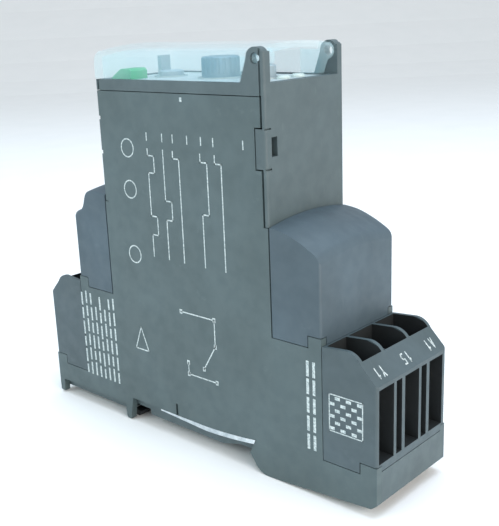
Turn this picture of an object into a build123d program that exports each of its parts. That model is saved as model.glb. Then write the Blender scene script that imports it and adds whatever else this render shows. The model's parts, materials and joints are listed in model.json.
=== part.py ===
"""Plug-on industrial control relay for a 35 mm top-hat rail, 22.5 mm wide, with a clear flip cover.

Frame, in millimetres: X runs along the body, with the end that carries terminals A1, 15 and Y1
at +X; Y runs across the 22.5 mm width, with the clip-in side panel at -Y; Z points away from the
rail, and z = 0 is the seat that rests on the rail's flanges.
"""

import os
from math import radians, tan

from build123d import *

# ---- overall body ----
length = 90.0
width = 22.5
nose_length = 44.8
shoulder_length = 67.0
wall = 1.8
panel_thickness = 1.5
far_wall = 1.5
seam = 0.15
groove = 0.45
post_width = 0.7

# ---- heights above the rail seat ----
rim_height = 68.7
shoulder_height = 45.9
shelf_height = 25.3
shelf_notch = 2.2
shelf_notch_length = 2.8
base_height = 4.4
base_notch = 2.1
base_notch_length = 3.4
end_seam_height = 5.4
latch_low = 56.1
latch_high = 63.1
latch_reach = 2.3
snap_low = 58.5
snap_high = 60.7
snap_thickness = 1.0
snap_length = 2.6
snap_catch = 1.25
snap_reach = 0.4
edge_notch = 0.8
edge_notch_depth = 0.7
spring_slot_x = -4.35
spring_slot_width = 0.6
spring_slot_top = 4.6
outer_foot_drop = 1.5
inner_foot_drop = 3.5

# ---- rail recess ----
rail_width = 35.0
rail_play = 0.2
rail_centre = -1.4
rail_flange = 1.15
recess_rise = 2.0
recess_bow = 1.2
seat_length = 4.4
rib_thickness = 1.5
rib_drop = 1.3
rib_slope = 4.6
hook_relief = 0.12
floor_rise = 0.5
hook_reach = 0.9
hook_drop = 3.0
hook_half_width = 7.0

# ---- rail clip and rail spring ----
clip_half_width = 7.9
clip_thickness = 1.85
clip_play = 0.1
clip_underside = 1.2
jaw_half_width = 8.9
jaw_length = 1.9
jaw_drop = 3.4
guide_lip = 0.9
guide_drop = 1.95
hook_half = 6.9
spring_thickness = 0.95

# ---- shoulder caps ----
cap_wall = 1.5
cap_crown_radius = 57.5
cap_crown = 1.1
lug_height = 1.4
lug_length = 8.2

# ---- terminals ----
pole_pitch = 8.05
pole_shift = -0.3
poles = 3
slot_width = 4.55
slot_floor = 7.0
slot_top = 20.8
slit_width = 1.75
slit_offset = 3.95
slit_depth = 3.0
screw_floor = 1.1
scoop_rib = 0.8
scoop_wall = 0.75
rib_top = 26.6
rib_setback = 3.2
label_top = 24.8
label_bottom = 21.5
block_wall = 1.3
cage_width = 4.4
cage_length = 6.0
cage_wall = 0.6
cage_floor = 0.8
cage_nut = 1.6
cage_height = 7.0
cage_clearance = 0.12
cage_travel = 1.8
cage_rest_gap = 0.4
chamber_play = 0.4
screw_radius = 1.25
screw_head_radius = 2.0
screw_head_height = 1.8
screw_clearance = 0.06
bar_width = 2.4
bar_thickness = 0.8
bar_top = 15.8
bar_clearance = 0.12

# ---- bezel, cover and front panel ----
bezel_height = 2.1
bezel_rim = 1.65
ear_thickness = 1.7
ear_foot = 5.4
ear_radius = 1.9
pivot_inset = 2.0
pivot_height = 75.0
pin_radius = 0.9
pin_clearance = 0.05
pin_length = 1.3
cover_wall = 1.2
cover_side = 76.3
cover_crown = 1.0
cover_gap = 0.12
cover_corner = 2.2
arm_thickness = 1.8
arm_gap = 0.25
front_thickness = 1.1
front_drop = 0.2

# ---- controls under the cover ----
dial_x = 2.0
dial_radius = 3.7
dial_height = 3.9
range_x = -11.9
selector_radius = 2.6
range_disc_height = 1.15
range_tab_height = 2.9
function_x = 12.4
function_height = 2.35
shaft_radius = 1.4
shaft_clearance = 0.05
button_x = -17.1
button_y = -6.6
button_length = 5.8
button_width = 4.4
button_rise = 2.1
button_travel = 0.8
button_flange = 0.45
lamp_x = 17.2
lamp_ys = (0.3, 4.5)
lamp_radius = 1.3
knob_gap = 0.15
switch_drop = 3.2

# ---- boards and what they carry ----
board_thickness = 1.6
main_board_y = 6.6
main_board_bottom = 5.0
main_board_top = 59.0
board_wing = 27.4
front_board_z = 61.0
board_margin = 0.9
front_board_half = 8.4
relay_x = -8.0
relay_z = 9.0
relay_width = 12.6
relay_length = 28.5
relay_depth = 15.4
relay_wall = 0.8
relay_base_thickness = 1.5
armature_travel = 4.0

# ---- worked out from the sizes above ----
half_length = length / 2
half_width = width / 2
nose_end = nose_length / 2
shoulder_end = shoulder_length / 2
panel_inner = -half_width + panel_thickness
far_inner = half_width - far_wall
rail_left = rail_centre - (rail_width + rail_play) / 2
rail_right = rail_centre + (rail_width + rail_play) / 2
block_inner = shoulder_end + seam
pole_ys = [pole_shift + pole_pitch * (i - (poles - 1) / 2) for i in range(poles)]
bezel_top = rim_height + bezel_height
pivot_x = nose_end - pivot_inset
front_top = bezel_top - front_drop
cage_x = block_inner + block_wall + cage_clearance + cage_length / 2
cage_top = bar_top + cage_rest_gap + cage_nut
cage_bottom = cage_top - cage_height
chamber_top = cage_top + cage_travel + chamber_play
scoop_floor = chamber_top + screw_floor
rib_front = half_length - rib_setback
front_board_top = front_board_z + board_thickness
switch_top = front_top - switch_drop
hollow_floor = recess_rise + recess_bow + floor_rise
channel_roof = clip_thickness - clip_underside + clip_play

os.makedirs("parts", exist_ok=True)


def upright(y):
    """Plane across the width at y; its sketches are drawn in X and Z and grow towards -Y."""
    return Plane.XZ.offset(-y)


def save(builder, node):
    """Name the finished piece and write it out."""
    builder.part.label = node
    export_step(builder.part, f"parts/{node}.step")


def box_between(low, high, mode=Mode.ADD):
    """Box from its low corner to its high corner."""
    size = [b - a for a, b in zip(low, high)]
    with Locations(tuple((a + b) / 2 for a, b in zip(low, high))):
        Box(*size, mode=mode)


def side_outline():
    """Outer face of the body seen across the width, without shoulders and terminal blocks."""
    left_roof = rail_left + 0.55
    right_roof = rail_right + 1.3
    bow_start = left_roof + 0.62 * (right_roof - left_roof)
    notch_x = shoulder_end - shelf_notch_length
    base_x = half_length - base_notch_length
    with BuildLine() as line:
        Polyline(
            (right_roof, recess_rise + recess_bow),
            (rail_right - 0.4, 0.1),
            (rail_right + 0.85, -1.6),
        )
        ThreePointArc(
            (rail_right + 0.85, -1.6),
            (rail_right + 2.0, -2.85),
            (rail_right + 4.6, -inner_foot_drop),
        )
        Polyline(
            (rail_right + 4.6, -inner_foot_drop),
            (half_length - 1.2, -outer_foot_drop - 0.1),
            (half_length, -outer_foot_drop + 0.9),
            (half_length, base_height + base_notch),
            (base_x, base_height + base_notch),
            (base_x, base_height),
            (shoulder_end, base_height),
            (shoulder_end, shelf_height + shelf_notch),
            (notch_x, shelf_height + shelf_notch),
            (notch_x, shelf_height),
            (nose_end - seam, shelf_height),
            (nose_end - seam, shoulder_height - seam),
            (nose_end - post_width - groove, shoulder_height - seam),
            (nose_end - post_width - groove, rim_height - seam),
            (-nose_end + post_width + groove, rim_height - seam),
            (-nose_end + post_width + groove, shoulder_height - seam),
            (-nose_end + seam, shoulder_height - seam),
            (-nose_end + seam, shelf_height),
            (-notch_x, shelf_height),
            (-notch_x, shelf_height + shelf_notch),
            (-shoulder_end, shelf_height + shelf_notch),
            (-shoulder_end, base_height),
            (-base_x, base_height),
            (-base_x, base_height + base_notch),
            (-half_length, base_height + base_notch),
            (-half_length, -2.9),
            (-half_length + 0.4, -3.1),
            (-half_length + 1.4, -3.1),
            (-half_length + 1.6, 0),
            (rail_left - 2.0, 0),
            (rail_left - 1.9, -2.9),
            (rail_left - 1.5, -3.3),
            (rail_left - 0.5, -3.3),
            (left_roof, recess_rise),
            (bow_start, recess_rise),
        )
        ThreePointArc(
            (bow_start, recess_rise),
            ((bow_start + right_roof) / 2, recess_rise + 0.36 * recess_bow),
            (right_roof, recess_rise + recess_bow),
        )
    make_face(line.edges())


def latch_tab(clearance):
    """The place at the +X corner where the housing's tab laps over the side panel."""
    reach = latch_reach + clearance
    height = latch_high - latch_low + 2 * clearance
    with Locations((nose_end - reach / 2, (latch_low + latch_high) / 2)):
        Rectangle(reach, height)


# ================================================================ housing
with BuildPart() as main_housing:
    # core between the two side faces
    with BuildSketch(upright(far_inner)):
        Polygon(
            (-nose_end, rim_height),
            (-nose_end, shelf_height),
            (-shoulder_end, shelf_height),
            (-shoulder_end, base_height),
            (-half_length + 2.0, base_height),
            (-half_length + 2.0, end_seam_height),
            (-half_length, end_seam_height),
            (-half_length, -guide_drop),
            (rail_left - 2.2, -guide_drop),
            (rail_left - 2.2, 0),
            (rail_right + 0.1, 0),
            (rail_right + 0.1, -rail_flange - 0.1),
            (rail_right + 4.6, -inner_foot_drop + 0.1),
            (half_length - 1.2, -outer_foot_drop),
            (half_length, -outer_foot_drop + 0.9),
            (half_length, end_seam_height),
            (half_length - 2.0, end_seam_height),
            (half_length - 2.0, base_height),
            (shoulder_end, base_height),
            (shoulder_end, shelf_height),
            (nose_end, shelf_height),
            (nose_end, rim_height),
            align=None,
        )
    extrude(amount=far_inner - panel_inner)
    # far side face
    with BuildSketch(upright(half_width)):
        side_outline()
        post_middle = (shoulder_height + rim_height) / 2
        for side in (-1, 1):
            with Locations((side * (nose_end - (post_width + groove) / 2), post_middle)):
                Rectangle(post_width + groove, rim_height - shoulder_height)
        with Locations((0, rim_height - seam / 2)):
            Rectangle(nose_length, seam)
    extrude(amount=far_wall)
    # hollow inside, open towards the side panel
    with BuildSketch(upright(far_inner)):
        Polygon(
            (-nose_end + wall, rim_height),
            (-nose_end + wall, shelf_height - wall),
            (-shoulder_end + wall, shelf_height - wall),
            (-shoulder_end + wall, hollow_floor),
            (shoulder_end - wall, hollow_floor),
            (shoulder_end - wall, shelf_height - wall),
            (nose_end - wall, shelf_height - wall),
            (nose_end - wall, rim_height),
            align=None,
        )
    extrude(amount=far_inner - panel_inner, mode=Mode.SUBTRACT)
    # corner post beside the panel at +X, and the lapping tab of the snap latch
    with BuildSketch(upright(panel_inner)):
        with Locations((nose_end - post_width / 2, post_middle)):
            Rectangle(post_width, rim_height - shoulder_height)
        latch_tab(0)
    extrude(amount=panel_thickness)
    # rounded upright corners of the nose
    corner_edges = (
        main_housing.edges()
        .filter_by(Axis.Z)
        .filter_by(lambda e: abs(abs(e.center().X) - nose_end) < 0.01)
        .filter_by(lambda e: abs(abs(e.center().Y) - half_width) < 0.01)
        .filter_by(lambda e: e.center().Z > shoulder_height)
    )
    fillet(corner_edges, 0.55)
    # shadow lines above and below the latch tab, and the catch windows for the snap hooks
    for z in (latch_low, latch_high):
        box_between(
            (nose_end - 0.35, -half_width - 0.1, z - 0.15),
            (nose_end + 0.35, panel_inner, z + 0.15),
            mode=Mode.SUBTRACT,
        )
    for side in (-1, 1):
        box_between(
            (side * (nose_end - wall / 2) - wall, panel_inner + 0.05, snap_low - 0.3),
            (side * (nose_end - wall / 2) + wall, panel_inner + snap_catch + 0.35, snap_high + 0.9),
            mode=Mode.SUBTRACT,
        )
    # passages for the terminal contact bars
    for side in (-1, 1):
        for y in pole_ys:
            with Locations((side * (shoulder_end - wall / 2), side * y, bar_top - bar_thickness / 2)):
                Box(
                    wall + 0.4,
                    bar_width + 2 * bar_clearance,
                    bar_thickness + 2 * bar_clearance,
                    mode=Mode.SUBTRACT,
                )
    # fixed rail hook under the terminal end
    with BuildSketch(upright(hook_half_width)):
        Polygon(
            (rail_right - hook_reach, -rail_flange),
            (rail_right + 0.1, -rail_flange),
            (rail_right + 0.6, -0.6),
            (rail_right + 3.0, -0.6),
            (rail_right + 3.0, -hook_drop),
            (rail_right + 0.3, -hook_drop),
            (rail_right - hook_reach, -rail_flange - 0.9),
            align=None,
        )
    extrude(amount=2 * hook_half_width)
    # channel that the rail clip slides in, with a lip along each side to keep it up
    channel_half = clip_half_width + clip_play
    box_between(
        (-half_length - 1, -channel_half, -clip_underside - clip_play),
        (rail_left - 0.1, channel_half, channel_roof),
        mode=Mode.SUBTRACT,
    )
    box_between(
        (-half_length - 1, -channel_half + guide_lip, -guide_drop - 1),
        (rail_left - 0.1, channel_half - guide_lip, 0.5),
        mode=Mode.SUBTRACT,
    )
    # shallow reliefs over the hook and over the clip's jaw leave a plain seat between them
    box_between(
        (rail_right - hook_reach - hook_relief, -far_inner, -0.1),
        (rail_right + 0.1, far_inner, hook_relief),
        mode=Mode.SUBTRACT,
    )
    box_between(
        (rail_left - 0.2, -far_inner, -0.1),
        (rail_left + hook_reach + hook_relief, far_inner, hook_relief),
        mode=Mode.SUBTRACT,
    )
    # stiffening rib along each side that dips between the rail's flanges
    for y in (panel_inner + rib_thickness, far_inner):
        with BuildSketch(upright(y)):
            Polygon(
                (rail_left + seat_length, 0.5),
                (rail_left + seat_length + 0.3, -rib_drop),
                (rail_right - seat_length - rib_slope, -rib_drop),
                (rail_right - seat_length, 0),
                (rail_right - seat_length, 0.5),
                align=None,
            )
        extrude(amount=rib_thickness)
    # posts that carry the main board, and ledges for the front board
    board_back = main_board_y + board_thickness
    for x, z in ((-16.0, 50.0), (16.0, 50.0), (-16.0, 12.0), (16.0, 12.0)):
        with BuildSketch(upright(far_inner + 0.1)):
            with Locations((x, z)):
                Circle(1.6)
        extrude(amount=far_inner + 0.1 - board_back)
    for side in (-1, 1):
        ledge_x = side * (nose_end - wall)
        box_between(
            (min(ledge_x, ledge_x - side * 2.2), -6.0, front_board_z - 1.2),
            (max(ledge_x, ledge_x - side * 2.2), 6.0, front_board_z),
        )
save(main_housing, "main_housing")

with BuildPart() as side_panel:
    with BuildSketch(upright(panel_inner - 0.02)):
        side_outline()
        corner_rise = rim_height - seam - shoulder_height
        with Locations((-nose_end + (post_width + groove) / 2, shoulder_height + corner_rise / 2)):
            Rectangle(post_width + groove, corner_rise)
        with BuildSketch(mode=Mode.SUBTRACT):
            latch_tab(0.25)
    extrude(amount=panel_thickness - 0.02)
    # rounded upright corner at -X, with a small notch above and below the catch
    corner_edges = (
        side_panel.edges()
        .filter_by(Axis.Z)
        .filter_by(lambda e: abs(e.center().X + nose_end) < 0.01)
        .filter_by(lambda e: abs(e.center().Y + half_width) < 0.01)
    )
    fillet(corner_edges, 0.55)
    for z in (latch_low, latch_high):
        box_between(
            (-nose_end - 1, -half_width - 1, z - edge_notch / 2),
            (-nose_end + edge_notch_depth, panel_inner, z + edge_notch / 2),
            mode=Mode.SUBTRACT,
        )
    # slot over the middle of the rail spring
    box_between(
        (spring_slot_x - spring_slot_width / 2, -half_width - 1, 0),
        (spring_slot_x + spring_slot_width / 2, panel_inner, spring_slot_top),
        mode=Mode.SUBTRACT,
    )
    # two snap hooks that reach into the housing
    for side in (-1, 1):
        hook_x = side * (nose_end - latch_reach - snap_thickness)
        tip_x = side * (nose_end - wall + snap_reach)
        box_between(
            (hook_x - snap_thickness / 2, panel_inner - 0.1, snap_low),
            (hook_x + snap_thickness / 2, panel_inner + snap_length, snap_high),
        )
        box_between(
            (min(hook_x, tip_x), panel_inner + 0.15, snap_low),
            (max(hook_x, tip_x), panel_inner + 0.15 + snap_catch, snap_high),
        )
save(side_panel, "side_panel")


# ================================================================ shoulder caps
def barrel(x_low, x_high, profile_points):
    """Crowned solid: the shoulder's lengthwise profile turned about a far-off lengthwise axis."""
    axis_z = shoulder_height + cap_crown - cap_crown_radius
    with BuildPart() as crowned:
        with BuildSketch(Plane.XZ):
            with BuildLine():
                Spline(*profile_points)
                Polyline(profile_points[-1], (x_high, 10.0), (x_low, 10.0), profile_points[0])
            make_face()
        revolve(axis=Axis((0, 0, axis_z), (1, 0, 0)))
    return crowned.part


def cap_profile(side, inset):
    """Top of a shoulder from the nose outwards; the far end carries a raised lug."""
    top = shoulder_height + cap_crown - inset
    near = nose_end + seam
    far = shoulder_end - inset
    if side > 0:
        points = [(near - 1, top + 0.1), (near, top), (near + 2.9, top - 0.4), (near + 5.3, top - 1.15)]
        points += [(near + 7.5, top - 2.1), (near + 9.2, top - 3.0), (near + 10.2, top - 3.7)]
        points += [(far - 0.3, top - 4.4), (far, top - 5.1)]
        return points
    plateau = top + lug_height
    corner = -near - lug_length
    points = [(-far, top - 5.0), (-far + 0.25, top - 4.1), (-far + 1.0, top - 3.5)]
    points += [(-far + 2.2, top - 3.0), (corner + 0.3, top - 2.0), (corner + 0.9, top - 0.4)]
    points += [(corner + 1.7, plateau - 0.6), (corner + 3.0, plateau - 0.1), (corner + 4.4, plateau)]
    points += [(-near + 1, plateau)]
    return points


def shoulder_cap(side):
    """Hollow shoulder between the nose and a terminal block, open towards the nose and the shelf."""
    near = nose_end + seam
    bottom = shelf_height + seam
    notch = shelf_height + shelf_notch + seam
    x_low, x_high = (near, shoulder_end) if side > 0 else (-shoulder_end, -near)
    hollow_low = near - 1 if side > 0 else -shoulder_end + cap_wall
    hollow_high = shoulder_end - cap_wall if side > 0 else -near + 1
    notch_x = side * (shoulder_end - shelf_notch_length - seam)
    outer = barrel(x_low - 1, x_high + 1, cap_profile(side, 0))
    inner = barrel(x_low - 1, x_high + 1, cap_profile(side, cap_wall))
    with BuildPart() as cap:
        box_between((x_low, -half_width, bottom), (x_high, half_width, 60))
        add(outer, mode=Mode.INTERSECT)
        with BuildPart(mode=Mode.PRIVATE) as hollow:
            box_between(
                (hollow_low, -half_width + cap_wall, bottom - 1),
                (hollow_high, half_width - cap_wall, 60),
            )
            add(inner, mode=Mode.INTERSECT)
        add(hollow.part, mode=Mode.SUBTRACT)
        # lower outer corners stand on the notched shelf of the side faces
        past_x = side * (shoulder_end + 1)
        for y_side in (-1, 1):
            inner_y = y_side * (half_width - panel_thickness - seam)
            past_y = y_side * (half_width + 1)
            box_between(
                (min(notch_x, past_x), min(inner_y, past_y), 0),
                (max(notch_x, past_x), max(inner_y, past_y), notch),
                mode=Mode.SUBTRACT,
            )
        outer_edges = (
            cap.edges()
            .filter_by(Axis.Z)
            .filter_by(lambda e: abs(abs(e.center().X) - shoulder_end) < 0.01)
            .filter_by(lambda e: abs(abs(e.center().Y) - half_width) < 0.01)
        )
        fillet(outer_edges, 0.6)
    return cap


for side, end in ((1, "a"), (-1, "b")):
    save(shoulder_cap(side), f"shoulder_cap_{end}")


# ================================================================ terminals
def terminal_block():
    """Three-pole terminal block of the +X end, with screw scoops on top and wire slots in its face."""
    bottom = base_height + seam
    base_x = half_length - base_notch_length - seam
    chamber_half = cage_width / 2 + cage_clearance
    chamber_x = (block_inner + block_wall, cage_x + cage_length / 2 + cage_clearance)
    with BuildPart() as block:
        with BuildSketch(upright(half_width)):
            with BuildLine() as line:
                Polyline(
                    (block_inner, rib_top - 0.4),
                    (block_inner, bottom),
                    (half_length, bottom),
                    (half_length, label_bottom),
                    (rib_front, label_top),
                )
                ThreePointArc(
                    (rib_front, label_top),
                    (rib_front - 1.1, rib_top - 0.55),
                    (rib_front - 3.4, rib_top),
                )
                Line((rib_front - 3.4, rib_top), (block_inner, rib_top - 0.4))
            make_face(line.edges())
        extrude(amount=width)
        # scoops: one well per pole between thin rounded ribs, open upwards
        well_low = half_width - scoop_wall
        bounds = [-well_low] + [y + pole_pitch / 2 for y in pole_ys[:-1]] + [well_low]
        for i in range(poles):
            y_low = bounds[i] + (0 if i == 0 else scoop_rib / 2)
            y_high = bounds[i + 1] - (0 if i == poles - 1 else scoop_rib / 2)
            box_between(
                (block_inner + 0.5, y_low, scoop_floor),
                (rib_front - 0.25, y_high, rib_top + 1),
                mode=Mode.SUBTRACT,
            )
        for y in pole_ys:
            # clamp chamber, wire slot, screw hole and contact passage of one pole
            box_between(
                (chamber_x[0], y - chamber_half, slot_floor),
                (chamber_x[1], y + chamber_half, chamber_top),
                mode=Mode.SUBTRACT,
            )
            box_between(
                (chamber_x[1] - 0.1, y - slot_width / 2, slot_floor),
                (half_length + 1, y + slot_width / 2, slot_top),
                mode=Mode.SUBTRACT,
            )
            with BuildSketch(Plane.XY.offset(chamber_top - 1)):
                with Locations((cage_x, y)):
                    Circle(screw_radius + 0.2)
            extrude(amount=scoop_floor - chamber_top + 2, mode=Mode.SUBTRACT)
            with Locations((block_inner + block_wall / 2, y, bar_top - bar_thickness / 2)):
                Box(
                    block_wall + 0.4,
                    bar_width + 2 * bar_clearance,
                    bar_thickness + 2 * bar_clearance,
                    mode=Mode.SUBTRACT,
                )
        for y in pole_ys[:-1]:
            slit_y = y + slit_offset
            box_between(
                (half_length - slit_depth, slit_y - slit_width / 2, slot_floor),
                (half_length + 1, slit_y + slit_width / 2, slot_top),
                mode=Mode.SUBTRACT,
            )
        # notched lower corner over the base, and the higher seam across the end face
        for y_side in (-1, 1):
            box_between(
                (base_x, min(y_side * (half_width - panel_thickness), y_side * 20), 0),
                (half_length + 1, max(y_side * (half_width - panel_thickness), y_side * 20),
                 base_height + base_notch + seam),
                mode=Mode.SUBTRACT,
            )
        box_between(
            (half_length - 2.0 - seam, -20, 0),
            (half_length + 1, 20, end_seam_height + seam),
            mode=Mode.SUBTRACT,
        )
        corner_edges = (
            block.edges()
            .filter_by(Axis.Z)
            .filter_by(lambda e: abs(e.center().X - half_length) < 0.01)
            .filter_by(lambda e: abs(abs(e.center().Y) - half_width) < 0.01)
        )
        fillet(corner_edges, 0.6)
    return block


block_a = terminal_block()
save(block_a, "terminal_block_a")
with BuildPart() as block_b:
    with Locations(Rotation(0, 0, 180)):
        add(block_a.part)
save(block_b, "terminal_block_b")


def clamp_cage(x, y):
    """Rising clamp: a square-section band with a thick tapped top, open towards the wire slot."""
    inner_width = cage_width - 2 * cage_wall
    with BuildPart() as cage:
        with Locations((x, y, cage_bottom + cage_height / 2)):
            Box(cage_length, cage_width, cage_height)
        with Locations((x, y, cage_bottom + cage_floor + (cage_height - cage_floor - cage_nut) / 2)):
            Box(cage_length, inner_width, cage_height - cage_floor - cage_nut, mode=Mode.SUBTRACT)
        with BuildSketch(Plane.XY.offset(cage_bottom + cage_height - cage_nut - 0.1)):
            with Locations((x, y)):
                Circle(screw_radius + screw_clearance)
        extrude(amount=cage_nut + 0.2, mode=Mode.SUBTRACT)
        chamfer(cage.faces().sort_by(Axis.Z)[-1].outer_wire().edges(), 0.25)
    return cage


def clamp_screw(x, y):
    """Captive clamp screw whose tip bears on the contact bar, with a cross recess and a slot."""
    head_low = scoop_floor + 0.05
    with BuildPart() as screw:
        with BuildSketch(Plane.XY.offset(head_low)):
            with Locations((x, y)):
                Circle(screw_head_radius)
        extrude(amount=screw_head_height)
        fillet(screw.faces().sort_by(Axis.Z)[-1].edges(), 0.35)
        with BuildSketch(Plane.XY.offset(bar_top + 0.05)):
            with Locations((x, y)):
                Circle(screw_radius)
        extrude(amount=head_low - bar_top)
        chamfer(screw.faces().sort_by(Axis.Z)[0].edges(), 0.25)
        with BuildSketch(Plane.XY.offset(head_low + screw_head_height)):
            with Locations((x, y)):
                Rectangle(2.6, 0.55)
                Rectangle(0.55, 2.6)
        extrude(amount=-1.0, mode=Mode.SUBTRACT)
        with BuildSketch(Plane.XY.offset(head_low + screw_head_height)):
            with Locations((x, y)):
                Rectangle(2 * screw_head_radius + 1, 0.5)
        extrude(amount=-0.45, mode=Mode.SUBTRACT)
    return screw


def contact_bar(side, y, inner_x, reach_y):
    """Bent copper bar from inside a clamp, through the housing wall, to the main board."""
    low = bar_top - bar_thickness
    tip = side * (cage_x + cage_length / 2 - 0.2)
    with BuildPart() as bar:
        box_between(
            (min(tip, side * inner_x), y - bar_width / 2, low),
            (max(tip, side * inner_x), y + bar_width / 2, bar_top),
        )
        if reach_y > y + bar_width / 2:
            foot = side * inner_x
            box_between(
                (min(foot, foot + side * bar_width), y + bar_width / 2 - 0.1, low),
                (max(foot, foot + side * bar_width), reach_y, bar_top),
            )
    return bar


# the bars stop one behind the other, so that their bent feet pass beside each other to the board
terminal_names = {1: ("y1", "15", "a1"), -1: ("18", "16", "a2")}
for side in (1, -1):
    for row, name in enumerate(terminal_names[side]):
        y_pole = sorted(side * y for y in pole_ys)[row]
        x_pole = side * cage_x
        foot_x = board_wing - bar_width - 1.0 - (poles - 2 - row) * (bar_width + 2.0)
        if row == poles - 1:
            foot_x = board_wing + 0.05
        save(clamp_screw(x_pole, y_pole), f"clamp_screw_{name}")
        save(clamp_cage(x_pole, y_pole), f"clamp_cage_{name}")
        save(contact_bar(side, y_pole, foot_x, main_board_y), f"contact_bar_{name}")


# ================================================================ bezel and clear cover
ear_left = pivot_x - ear_radius
foot_left = nose_end - ear_foot

with BuildPart() as bezel:
    with BuildSketch(Plane.XY.offset(rim_height)):
        Rectangle(nose_length, width)
        Rectangle(nose_length - 2 * wall, width - 2 * bezel_rim, mode=Mode.SUBTRACT)
    extrude(amount=bezel_height)
    # ears that carry the cover's pins
    for y in (-half_width + ear_thickness, half_width):
        with BuildSketch(upright(y)):
            Polygon(
                (foot_left, bezel_top - 0.4),
                (nose_end, bezel_top - 0.4),
                (nose_end, pivot_height),
                (ear_left, pivot_height),
                (foot_left, bezel_top),
                align=None,
            )
            with Locations((pivot_x, pivot_height)):
                Circle(ear_radius)
            with Locations((nose_end - ear_radius / 2, pivot_height)):
                Rectangle(ear_radius, 2 * ear_radius - 1.6)
        extrude(amount=ear_thickness)
        with BuildSketch(upright(y + 0.1)):
            with Locations((pivot_x, pivot_height)):
                Circle(pin_radius + pin_clearance)
        extrude(amount=ear_thickness + 0.2, mode=Mode.SUBTRACT)
    bezel_corners = (
        bezel.edges()
        .filter_by(Axis.Z)
        .filter_by(lambda e: abs(abs(e.center().X) - nose_end) < 0.01)
        .filter_by(lambda e: abs(abs(e.center().Y) - half_width) < 0.01)
    )
    fillet(bezel_corners, 0.55)
    # shadow groove beside each corner, in line with the one below it
    for side in (-1, 1):
        for y_side in (-1, 1):
            groove_x = side * (nose_end - post_width - groove / 2)
            with Locations((groove_x, y_side * half_width, (rim_height + pivot_height) / 2)):
                Box(groove, 0.5, 30, mode=Mode.SUBTRACT)
save(bezel, "bezel")


def crowned_bar(x_low, x_high, half_y, side_top, crown, bottom):
    """Solid with an arched top across the width, from x_low to x_high."""
    with BuildPart() as bar:
        with BuildSketch(Plane.YZ.offset(x_low)):
            with BuildLine() as line:
                ThreePointArc((-half_y, side_top), (0, side_top + crown), (half_y, side_top))
                Polyline((half_y, side_top), (half_y, bottom), (-half_y, bottom), (-half_y, side_top))
            make_face(line.edges())
        extrude(amount=x_high - x_low)
    return bar.part


cover_left = -nose_end + 0.1
cover_floor = bezel_top + cover_gap
cover_half = half_width - 0.05
arm_outer = half_width - ear_thickness - arm_gap
arm_inner = arm_outer - arm_thickness
clear_radius = ear_radius + 0.3

with BuildPart() as flip_cover:
    add(crowned_bar(cover_left, pivot_x - 0.2, cover_half, cover_side, cover_crown, cover_floor))
    # rounded upper corner at the free end
    corner = (
        flip_cover.edges()
        .filter_by(lambda e: abs(e.center().X - cover_left) < 0.01)
        .sort_by(Axis.Z)[-1]
    )
    fillet(corner, cover_corner)
    add(
        crowned_bar(
            cover_left + cover_wall,
            pivot_x + 5,
            cover_half - cover_wall,
            cover_side - cover_wall,
            cover_crown,
            cover_floor - 1,
        ),
        mode=Mode.SUBTRACT,
    )
    # room for the ears on both sides
    for y in (-arm_outer, half_width + 1):
        with BuildSketch(upright(y)):
            with Locations((pivot_x, pivot_height)):
                Circle(clear_radius)
            Polygon(
                (foot_left - 0.35, bezel_top - 1),
                (foot_left - 0.35, bezel_top),
                (pivot_x - clear_radius, pivot_height),
                (pivot_x - clear_radius + 0.3, pivot_height + 1.3),
                (pivot_x - 0.6, pivot_height + 5),
                (nose_end + 1, pivot_height + 5),
                (nose_end + 1, bezel_top - 1),
                align=None,
            )
        extrude(amount=half_width + 1 - arm_outer, mode=Mode.SUBTRACT)
    # hinge arms inside the ears, and the pins that snap into them
    for y in (-arm_inner, arm_outer):
        with BuildSketch(upright(y)):
            Polygon(
                (foot_left - 1.6, cover_floor),
                (pivot_x - 0.9, cover_floor),
                (pivot_x + 0.4, pivot_height - 0.6),
                (pivot_x - 0.2, cover_side + 0.2),
                (foot_left - 1.6, cover_side + 0.2),
                align=None,
            )
            with Locations((pivot_x, pivot_height)):
                Circle(1.5)
        extrude(amount=arm_thickness)
    for y in (-arm_outer + 0.1, arm_outer + arm_gap + pin_length):
        with BuildSketch(upright(y)):
            with Locations((pivot_x, pivot_height)):
                Circle(pin_radius)
        extrude(amount=arm_gap + pin_length + 0.1)
save(flip_cover, "flip_cover")

with BuildPart() as front_panel:
    with BuildSketch(Plane.XY.offset(front_top - front_thickness)):
        Rectangle(nose_length - 2 * wall - 2 * seam, width - 2 * bezel_rim - 2 * seam)
        with Locations((dial_x, 0), (range_x, 0), (function_x, 0)):
            Circle(shaft_radius + 0.25, mode=Mode.SUBTRACT)
        with Locations((button_x, button_y)):
            Rectangle(button_length + 0.3, button_width + 0.3, mode=Mode.SUBTRACT)
        with Locations(*[(lamp_x, y) for y in lamp_ys]):
            Circle(lamp_radius + 0.05, mode=Mode.SUBTRACT)
    extrude(amount=front_thickness)
    # raised rings that the knobs turn in
    with BuildSketch(Plane.XY.offset(front_top - 0.1)):
        for x, radius in ((dial_x, dial_radius), (range_x, selector_radius), (function_x, selector_radius)):
            with Locations((x, 0)):
                Circle(radius + 0.75)
                Circle(radius + 0.3, mode=Mode.SUBTRACT)
    extrude(amount=0.35)
save(front_panel, "front_panel")


# ================================================================ knobs, button and lamps
def knob_shaft(x):
    """Shaft that reaches down into the rotary part on the front board; joins the open part."""
    with BuildSketch(Plane.XY.offset(switch_top - 1.8)) as section:
        with Locations((x, 0)):
            Circle(shaft_radius)
    extrude(section.sketch, amount=front_top + knob_gap + 0.1 - switch_top + 1.8)


knob_floor = front_top + knob_gap

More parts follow.
